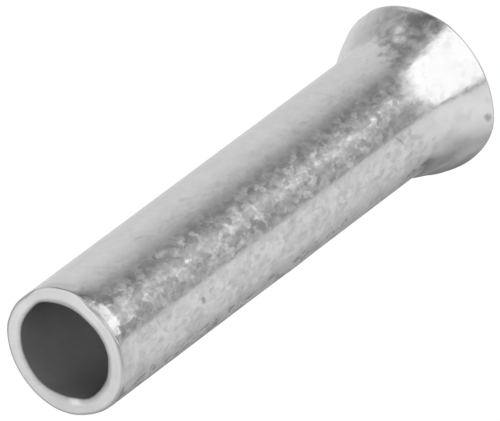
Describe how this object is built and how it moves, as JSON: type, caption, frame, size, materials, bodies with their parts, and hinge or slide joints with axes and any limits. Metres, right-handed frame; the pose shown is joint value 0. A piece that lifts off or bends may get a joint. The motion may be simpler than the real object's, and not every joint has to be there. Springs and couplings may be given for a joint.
{
  "type": "wire ferrule",
  "caption": "Bare wire ferrule: a short seamless metal tube with a plain cut end and a flared mouth, crimped round stripped fine-stranded wire.",
  "frame": {"origin": "centre of the flared mouth, in the plane of its rim, on which the ferrule stands", "axes": "+Z along the tube's axis, from the flared mouth up to the plain cut end; X and Y are any two directions across it"},
  "size_m": [0.0018, 0.0018, 0.006],
  "materials": {
    "tinned_copper": "bright tin plating with a faint crystal pattern and small handling marks"
  },
  "bodies": {
    "root": {"sleeve": "tinned_copper"}
  },
  "joints": []
}
